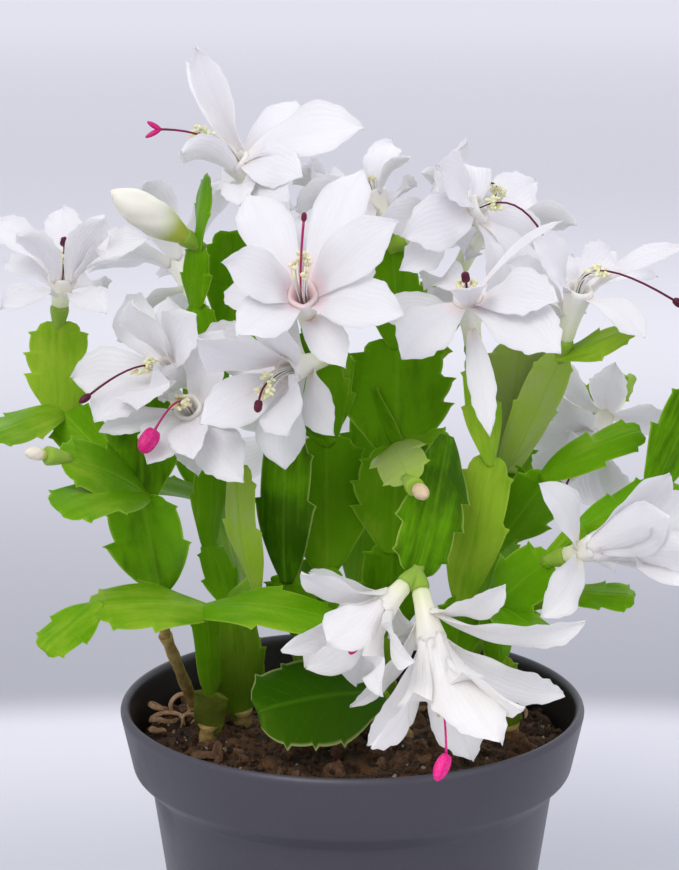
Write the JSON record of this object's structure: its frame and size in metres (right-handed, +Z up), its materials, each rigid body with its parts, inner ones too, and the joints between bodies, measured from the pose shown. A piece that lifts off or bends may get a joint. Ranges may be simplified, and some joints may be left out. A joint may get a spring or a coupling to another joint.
{
  "type": "potted christmas cactus",
  "caption": "White-flowered Christmas cactus with flat toothed stem segments, rooted in soil in a round dark grey nursery pot.",
  "frame": {"origin": "Centre of the pot's underside, level with the surface it stands on.", "axes": "+Z up, -Y towards the plant's front, +X to its right as seen from the front."},
  "size_m": [0.1982, 0.2056, 0.2847],
  "materials": {
    "pot": "satin, slightly scuffed dark grey plastic",
    "soil": "damp peat and bark with pale grit",
    "leaf": "smooth, slightly waxy green segments with paler edges",
    "tepal": "soft white translucent petals",
    "pistil": "moist magenta style and stigma",
    "bud": "creamy white closed petals"
  },
  "bodies": {
    "root": {"pot": "pot", "soil": "soil", "stem_left_low": "leaf", "stem_left_tall": "leaf", "stem_left_inner": "leaf", "stem_centre_left": "leaf", "stem_centre": "leaf", "stem_centre_front": "leaf", "stem_right_tall": "leaf", "stem_right_low": "leaf", "stem_front": "leaf", "stem_back_left": "leaf", "stem_back_centre": "leaf", "stem_back_right": "leaf", "bloom_front": "tepal", "pistil_front": "pistil", "bloom_front_left": "tepal", "pistil_front_left": "pistil", "bloom_centre": "tepal", "pistil_centre": "pistil", "bloom_hanging": "tepal", "pistil_hanging": "pistil", "bloom_left_dark": "tepal", "pistil_left_dark": "pistil", "bloom_left_pink": "tepal", "pistil_left_pink": "pistil", "bloom_far_left": "tepal", "pistil_far_left": "pistil", "bloom_top_left": "tepal", "pistil_top_left": "pistil", "bloom_upper_mid": "tepal", "pistil_upper_mid": "pistil", "bloom_upper_right": "tepal", "pistil_upper_right": "pistil", "bloom_right_centre": "tepal", "pistil_right_centre": "pistil", "bloom_right_wing": "tepal", "pistil_right_wing": "pistil", "bloom_back_right": "tepal", "pistil_back_right": "pistil", "bloom_right_low": "tepal", "pistil_right_low": "pistil", "bloom_back_tall": "tepal", "pistil_back_tall": "pistil", "bloom_back_left": "tepal", "pistil_back_left": "pistil", "bloom_back_low": "tepal", "pistil_back_low": "pistil", "bud_left": "bud", "bud_tip": "bud", "bud_cream": "bud"}
  },
  "joints": []
}
